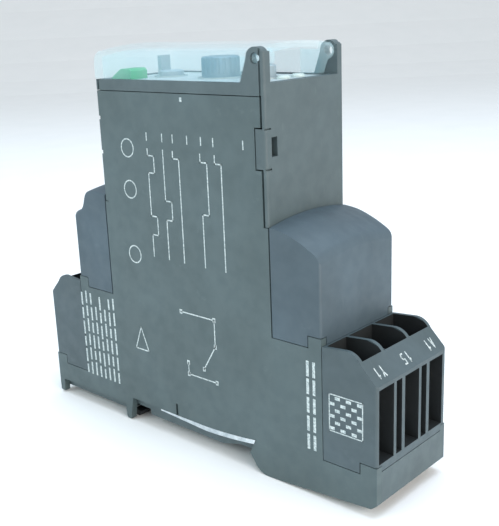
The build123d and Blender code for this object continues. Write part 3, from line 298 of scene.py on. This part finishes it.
def easedShell(nodeName, settings):
    # the CAD node's own faces, welded and flattened, with every sharp edge rounded by the mould radius
    mesh = frame["nodes"][nodeName].data.copy()
    work = bmesh.new()
    work.from_mesh(mesh)
    bmesh.ops.remove_doubles(work, verts=work.verts[:], dist=0.002 * mm)
    bmesh.ops.dissolve_limit(work, angle_limit=math.radians(settings["flatDeg"]), verts=work.verts[:],
                             edges=work.edges[:], delimit=set())
    for face in work.faces:
        face.smooth = True
        # faces inside the block take the second slot, the near-black painted shade that stands in for the shadow
        # in the wire entries
        face.material_index = int(settings.get("paintedShadeInside", False) and facesInwards(face, nodeName))
    work.to_mesh(mesh)
    work.free()
    mesh.name = settings["piece"]
    # second slot: the painted-shade material for the inner faces
    if settings.get("paintedShadeInside", False):
        mesh.materials.append(polyamide["inside"])
    piece = bpy.data.objects.new(settings["piece"], mesh)
    bpy.context.scene.collection.objects.link(piece)
    if "custom_normal" in mesh.attributes:
        mesh.attributes.remove(mesh.attributes["custom_normal"])
    bevel = piece.modifiers.new("mouldRadius", "BEVEL")
    bevel.width = settings["radiusMm"] * mm
    bevel.segments = settings["segments"]
    bevel.limit_method = "ANGLE"
    bevel.angle_limit = math.radians(settings["sharpDeg"])
    bevel.use_clamp_overlap = settings["clamp"]
    bevel.harden_normals = True
    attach(piece, bodyOf[nodeName])
    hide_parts(nodeName)
    return piece


shells = {
    "main_housing": {"piece": "housingShell", "radiusMm": 0.12, "segments": 2, "flatDeg": 0.02, "sharpDeg": 38,
                     "clamp": True},
    "side_panel": {"piece": "sidePanelShell", "radiusMm": 0.12, "segments": 2, "flatDeg": 0.02, "sharpDeg": 38,
                   "clamp": True},
    "terminal_block_a": {"piece": "terminalShellA", "radiusMm": 0.1, "segments": 2, "flatDeg": 0.02,
                         "sharpDeg": 30, "clamp": True, "paintedShadeInside": True},
    "terminal_block_b": {"piece": "terminalShellB", "radiusMm": 0.1, "segments": 2, "flatDeg": 0.02,
                         "sharpDeg": 30, "clamp": True, "paintedShadeInside": True},
    "shoulder_cap_a": {"piece": "shoulderShellA", "radiusMm": 0.18, "segments": 3, "flatDeg": 0.02,
                       "sharpDeg": 50, "clamp": True},
    "shoulder_cap_b": {"piece": "shoulderShellB", "radiusMm": 0.18, "segments": 3, "flatDeg": 0.02,
                       "sharpDeg": 50, "clamp": True},
    "bezel": {"piece": "bezelShell", "radiusMm": 0.15, "segments": 2, "flatDeg": 0.02, "sharpDeg": 38,
              "clamp": True},
    "time_dial": {"piece": "dialShell", "radiusMm": 0.12, "segments": 2, "flatDeg": 0.02, "sharpDeg": 38,
                  "clamp": True},
    "range_selector": {"piece": "rangeSelectorShell", "radiusMm": 0.15, "segments": 2, "flatDeg": 0.02,
                       "sharpDeg": 38, "clamp": True},
    "function_selector": {"piece": "functionSelectorShell", "radiusMm": 0.15, "segments": 2, "flatDeg": 0.02,
                          "sharpDeg": 38, "clamp": True},
    "diagnostic_button": {"piece": "buttonShell", "radiusMm": 0.2, "segments": 3, "flatDeg": 0.02,
                          "sharpDeg": 38, "clamp": True},
    "flip_cover": {"piece": "coverShell", "radiusMm": 0.2, "segments": 2, "flatDeg": 0.02, "sharpDeg": 38,
                   "clamp": True},
}
for nodeName, settings in shells.items():
    shell = easedShell(nodeName, settings)
    print("piece:", shell.name, len(shell.data.polygons), "faces")

# ---------- pale printing on the case ----------
# white pad-printing ink: thin, slightly uneven film over the grained plastic
def padInk(name, thin, full):
    material, tree, shader, place = startMaterial(name)
    film = addNode(tree, "ShaderNodeTexNoise", {"Scale": 1 / (0.35 * mm), "Detail": 4.0}, {"Vector": place})
    tree.links.new(shader.inputs["Base Color"],
                   twoTone(tree, spread(tree, film.outputs["Fac"], 0.35, 0.6, 0.0, 1.0),
                           linearColour(thin), linearColour(full)))
    tree.links.new(shader.inputs["Roughness"], spread(tree, film.outputs["Fac"], 0.3, 0.7, 0.4, 0.6))
    return material


ink = padInk("whitePadInk", "#8d9c9f", "#c9d3d3")
darkInk = padInk("greyPadInk", "#2a3438", "#364146")


def printStrokes(name, strokes, widthMm, origin, across, upward, material, body,
                 overlap=0.5):
    # each straight run is a flat bar, longer at both ends by a share of its width so that corners close
    starts = np.array([a for path in strokes for a in path[:-1]], float)
    ends = np.array([b for path in strokes for b in path[1:]], float)
    run = ends - starts
    run = run / np.maximum(np.linalg.norm(run, axis=1, keepdims=True), 1e-9)
    half = widthMm / 2
    side = np.stack([-run[:, 1], run[:, 0]], -1) * half
    starts, ends = starts - run * widthMm * overlap, ends + run * widthMm * overlap
    corners = np.stack([starts - side, ends - side, ends + side, starts + side], 1).reshape(-1, 2) * mm
    points = np.array(origin) + corners[:, :1] * np.array(across) + corners[:, 1:] * np.array(upward)
    mesh = bpy.data.meshes.new(name)
    mesh.from_pydata(points.tolist(), [], np.arange(len(points)).reshape(-1, 4).tolist())
    mesh.materials.append(material)
    piece = bpy.data.objects.new(name, mesh)
    bpy.context.scene.collection.objects.link(piece)
    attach(piece, body)
    print("piece:", name, len(mesh.polygons), "bars")
    return piece


def ringStroke(x, z, radius, steps=28):
    # closed circle: x and z plus radius times cosine and sine
    turn = np.linspace(0, 2 * np.pi, steps + 1)
    return np.stack([x + radius * np.cos(turn), z + radius * np.sin(turn)], -1).tolist()


def timingTrace(x, swing, switches, top, bottom):
    # one line that runs down the side and steps sideways by swing at each switching height
    path, away, here = [(x, top)], False, x
    for height in switches:
        path.append((here, height))
        away = not away
        here = x + (swing if away else 0)
        path.append((here, height))
    return path + [(here, bottom)]


diagram = {"lineMm": 0.26, "top": 57.7, "bottom": 36.0, "filmMm": 0.015, "rowMm": 0.5, "rowPitchMm": 1.55,
           "rowsLow": 4.5, "rowsHigh": 24.0, "rowsFrom": -33.5, "rows": 8, "ringRadius": 1.8, "dotMm": 0.75,
           "gateDotMm": 0.6}
traces = [
    timingTrace(-8.1, 1.7, (56.4, 53.0, 44.3, 40.5), diagram["top"], diagram["bottom"]),
    timingTrace(-3.7, 1.7, (47.8, 44.0), diagram["top"], diagram["bottom"]),
    timingTrace(-1.0, 1.6, (56.3,), diagram["top"], diagram["bottom"]),
    timingTrace(6.3, 1.7, (56.2, 46.3), diagram["top"], diagram["bottom"]),
    timingTrace(10.0, 1.6, (56.2,), diagram["top"], diagram["bottom"]),
]
headings = [[(x, 59.4), (x, 60.8)] for x in (-8.1, -3.7, -0.8, 3.1, 6.7, 9.8, 17.1)]
wiring = [[(-1.3, 25.6), (7.8, 25.6), (7.8, 20.1)], [(0, 15), (0, 12.5), (7.8, 12.5)],
          [(4.4, 14.6), (7.8, 20.1)],
          [(-15.9, 14.5), (-11.9, 14.5), (-13.9, 19.5), (-15.9, 14.5)]]
dots = [[(x, z - 0.1), (x, z + 0.1)] for x, z in
        ((-1.3, 25.6), (7.8, 25.6), (7.8, 20.1), (0, 15), (0, 12.5), (4.4, 14.6), (7.8, 12.5))]


def textRows(settings):
    # plain bars in place of lettering, broken into word lengths that vary with a sine
    bars = []
    for row in range(settings["rows"]):
        x = settings["rowsFrom"] + row * settings["rowPitchMm"]
        z, word = settings["rowsLow"], 0
        while z < settings["rowsHigh"] - 2.2:
            reach = 1.6 + 1.1 * abs(math.sin(2.3 * row + 1.7 * word))
            bars.append([(x, z), (x, min(z + reach, settings["rowsHigh"]))])
            z += reach + 1.1
            word += 1
    return bars


nearFace = (0.0, cadBox[0][1] - diagram["filmMm"] * mm, 0.0)
sideways, upright = (1.0, 0.0, 0.0), (0.0, 0.0, 1.0)
rings = [ringStroke(-14.0, z, diagram["ringRadius"]) for z in (57.5, 49.1, 35.5)]
printStrokes("timingDiagramPrint", traces + headings + wiring, diagram["lineMm"], nearFace, sideways,
             upright, ink, bodyOf["side_panel"])
printStrokes("diagramRingsPrint", rings, diagram["lineMm"], nearFace, sideways, upright, ink,
             bodyOf["side_panel"], overlap=0.0)
printStrokes("diagramDotsPrint", dots, diagram["dotMm"], nearFace, sideways, upright, ink,
             bodyOf["side_panel"])
printStrokes("gateDotPrint", [[(2.0, 67.4), (2.0, 67.6)]], diagram["gateDotMm"], nearFace, sideways, upright, ink,
             bodyOf["side_panel"])
printStrokes("textRowsPrint", textRows(diagram), diagram["rowMm"], nearFace, sideways, upright, ink,
             bodyOf["side_panel"])

# a framed patch of plain squares and a column of bars beside it
patch = {"left": 35.1, "low": 10.9, "size": 7.0, "cells": 6, "lineMm": 0.22,
         "squareMm": 0.6, "barMm": 0.6}
cell = patch["size"] / patch["cells"]
frameLine = [(patch["left"], patch["low"]), (patch["left"] + patch["size"], patch["low"]),
             (patch["left"] + patch["size"], patch["low"] + patch["size"]),
             (patch["left"], patch["low"] + patch["size"]), (patch["left"], patch["low"])]
squares = [[(patch["left"] + (i + 0.3) * cell, patch["low"] + (j + 0.5) * cell),
            (patch["left"] + (i + 0.7) * cell, patch["low"] + (j + 0.5) * cell)]
           for i in range(patch["cells"]) for j in range(patch["cells"]) if (i + j) % 2 == 0]
column = [[(x, z), (x, z + 2.4)] for x in (30.4, 31.8) for z in (6.0, 9.6, 13.2, 16.8, 20.2)]
printStrokes("patchFramePrint", [frameLine], patch["lineMm"], nearFace, sideways, upright, ink,
             bodyOf["terminal_block_a"])
printStrokes("patchSquaresPrint", squares, patch["squareMm"], nearFace, sideways, upright, ink,
             bodyOf["terminal_block_a"])
printStrokes("barColumnPrint", column, patch["barMm"], nearFace, sideways, upright, ink,
             bodyOf["terminal_block_a"])

# scale marks round the dial and the two selectors, on the face plate
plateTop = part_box("front_panel")[1][2] + 0.01 * mm
knobs = {"time_dial": {"marks": 11, "inner": 4.1, "outer": 4.8, "sweep": 280},
         "range_selector": {"marks": 8, "inner": 3.0, "outer": 3.5, "sweep": 270},
         "function_selector": {"marks": 8, "inner": 3.0, "outer": 3.5, "sweep": 270}}
for knob, scale in knobs.items():
    low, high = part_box(knob)
    angles = np.radians(np.linspace(-scale["sweep"] / 2, scale["sweep"] / 2, scale["marks"]) + 180)
    marks = [[(scale["inner"] * math.cos(a), scale["inner"] * math.sin(a)),
              (scale["outer"] * math.cos(a), scale["outer"] * math.sin(a))] for a in angles]
    printStrokes(knob.replace("_", "") + "ScalePrint", marks, 0.2,
                 ((low[0] + high[0]) / 2, (low[1] + high[1]) / 2, plateTop), sideways, (0.0, 1.0, 0.0),
                 darkInk, bodyOf["front_panel"])
# terminal numbers in plain strokes on the sloping lips, in a unit box one high
glyphs = {"A": (((0, 0), (0.3, 1), (0.6, 0)), ((0.12, 0.35), (0.48, 0.35))),
          "1": (((0.1, 0.75), (0.35, 1), (0.35, 0)),),
          "5": (((0.55, 1), (0.05, 1), (0, 0.55), (0.4, 0.55), (0.58, 0.3), (0.4, 0), (0, 0)),),
          "Y": (((0, 1), (0.3, 0.55), (0.6, 1)), ((0.3, 0.55), (0.3, 0))),
          "2": (((0, 0.8), (0.25, 1), (0.55, 0.8), (0, 0), (0.6, 0)),),
          "6": (((0.5, 1), (0.05, 0.5), (0.05, 0.1), (0.3, 0), (0.55, 0.2), (0.4, 0.5), (0.05, 0.4)),),
          "8": (((0.3, 0.5), (0.05, 0.75), (0.3, 1), (0.55, 0.75), (0.3, 0.5), (0, 0.25), (0.3, 0),
                 (0.6, 0.25), (0.3, 0.5)),)}
label = {"highMm": 1.9, "stepMm": 1.5, "lineMm": 0.26, "xTop": 41.8, "xLow": 45.0, "zTop": 24.8, "zLow": 21.5,
         "liftMm": 0.02, "lettersAt": 0.25}
slopeRun, slopeDrop = label["xLow"] - label["xTop"], label["zTop"] - label["zLow"]
slopeLength = math.hypot(slopeRun, slopeDrop)
for pole, words in (("y1", "Y1"), ("15", "15"), ("a1", "A1"), ("18", "18"), ("16", "16"), ("a2", "A2")):
    low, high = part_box(f"clamp_screw_{pole}")
    end = 1 if low[0] > 0 else -1
    middle = (low[1] + high[1]) / 2
    upSlope = (-end * slopeRun / slopeLength, 0.0, slopeDrop / slopeLength)
    outward = (end * slopeDrop / slopeLength, 0.0, slopeRun / slopeLength)
    foot = np.array((end * label["xLow"] * mm, middle, label["zLow"] * mm)) \
        + np.array(upSlope) * slopeLength * label["lettersAt"] * mm + np.array(outward) * label["liftMm"] * mm
    downSlope = tuple(-part for part in upSlope)
    start = -(len(words) * label["stepMm"] - 0.4) / 2
    lines = [[(start + order * label["stepMm"] + a * label["highMm"] * 0.6, (b - 1) * label["highMm"])
              for a, b in path]
             for order, letter in enumerate(words) for path in glyphs[letter]]
    block = "terminal_block_a" if end > 0 else "terminal_block_b"
    printStrokes(f"label{words}Print", lines, label["lineMm"], foot, (0.0, -float(end), 0.0), downSlope, ink,
                 bodyOf[block])
print("stage: printing ready")

# ---------- floor, light and camera ----------
studio = {"floorZ": cadBox[0][2], "floorHalf": 1.6, "skyStrength": 0.75, "keyWatts": 1.5, "topWatts": 3.0,
          "fillWatts": 2.2, "azimuth": 43.94, "elevation": 15.86, "distance": 0.18094,
          "target": (0.0, 0.0, 0.0336), "rollDeg": -2.73, "lens": 60.44, "shift": (0.0513, -0.0039)}


def paleFloor(settings):
    # flat square that curls up at the back: height is zero, then a quarter of a circle
    steps = 40
    half = settings["floorHalf"]
    across, along = np.meshgrid(np.linspace(-half, half, 24), np.linspace(0, 1, steps), indexing="ij")
    depth = -half + along * (2 * half)
    rise = np.clip((depth - 0.5 * half) / (0.5 * half), 0, 1)
    height = settings["floorZ"] + 0.5 * half * (1 - np.sqrt(1 - 0.96 * rise ** 2))
    points = np.stack([across, depth, height], -1)
    mesh = bpy.data.meshes.new("floor")
    index = np.arange(24 * steps).reshape(24, steps)
    quads = np.stack([index[:-1, :-1], index[1:, :-1], index[1:, 1:], index[:-1, 1:]], -1).reshape(-1, 4)
    mesh.from_pydata(points.reshape(-1, 3).tolist(), [], quads.tolist())
    turn = Matrix.Rotation(math.radians(settings["azimuth"]), 4, "Z")
    mesh.transform(turn)
    floor = bpy.data.objects.new("floor", mesh)
    bpy.context.scene.collection.objects.link(floor)
    material, tree, shader, place = startMaterial("paleStudioPaper")
    paper = addNode(tree, "ShaderNodeTexNoise", {"Scale": 40.0, "Detail": 2.0}, {"Vector": place})
    tree.links.new(shader.inputs["Base Color"],
                   twoTone(tree, paper.outputs["Fac"], linearColour("#f4f5f5"), linearColour("#fafafa")))
    shader.inputs["Roughness"].default_value = 0.9
    mesh.materials.append(material)
    return floor


def areaLight(name, place, size, watts, colour, aim):
    light = bpy.data.lights.new(name, "AREA")
    light.shape = "SQUARE"
    light.size = size
    light.energy = watts
    light.color = linearColour(colour)[:3]
    lamp = bpy.data.objects.new(name, light)
    bpy.context.scene.collection.objects.link(lamp)
    lamp.location = place
    lamp.rotation_euler = (Vector(aim) - Vector(place)).to_track_quat("-Z", "Y").to_euler()


def placeCamera(settings):
    azimuth, elevation = math.radians(settings["azimuth"]), math.radians(settings["elevation"])
    roll = math.radians(settings["rollDeg"])
    back = Vector((math.sin(azimuth) * math.cos(elevation), -math.cos(azimuth) * math.cos(elevation),
                   math.sin(elevation)))
    right = Vector((math.cos(azimuth), math.sin(azimuth), 0))
    up = back.cross(right)
    turnedRight = right * math.cos(roll) + up * math.sin(roll)
    turnedUp = up * math.cos(roll) - right * math.sin(roll)
    camera = bpy.data.objects.new("camera", bpy.data.cameras.new("camera"))
    bpy.context.scene.collection.objects.link(camera)
    axes = Matrix((turnedRight, turnedUp, back)).transposed().to_4x4()
    camera.matrix_world = Matrix.Translation(Vector(settings["target"]) + back * settings["distance"]) @ axes
    camera.data.lens = settings["lens"]
    camera.data.shift_x, camera.data.shift_y = settings["shift"]
    camera.data.clip_start = 0.01
    bpy.context.scene.camera = camera


paleFloor(studio)
placeCamera(studio)
areaLight("windowLight", (-0.28, -0.5, 0.34), 0.4, studio["keyWatts"], "#e6fbff", (0, 0, 0.03))
areaLight("skyLight", (0.05, 0.05, 0.6), 0.5, studio["topWatts"], "#d9ecff", (0, 0, 0.03))
areaLight("roomLight", (0.5, -0.1, 0.2), 0.4, studio["fillWatts"], "#fff3e8", (0, 0, 0.03))
world = bpy.data.worlds.new("paleRoom")
bpy.context.scene.world = world
world.use_nodes = True
world.node_tree.nodes["Background"].inputs["Color"].default_value = linearColour("#eef4f8")
world.node_tree.nodes["Background"].inputs["Strength"].default_value = studio["skyStrength"]
bpy.context.scene.view_settings.view_transform = "Standard"
print("stage: studio ready")
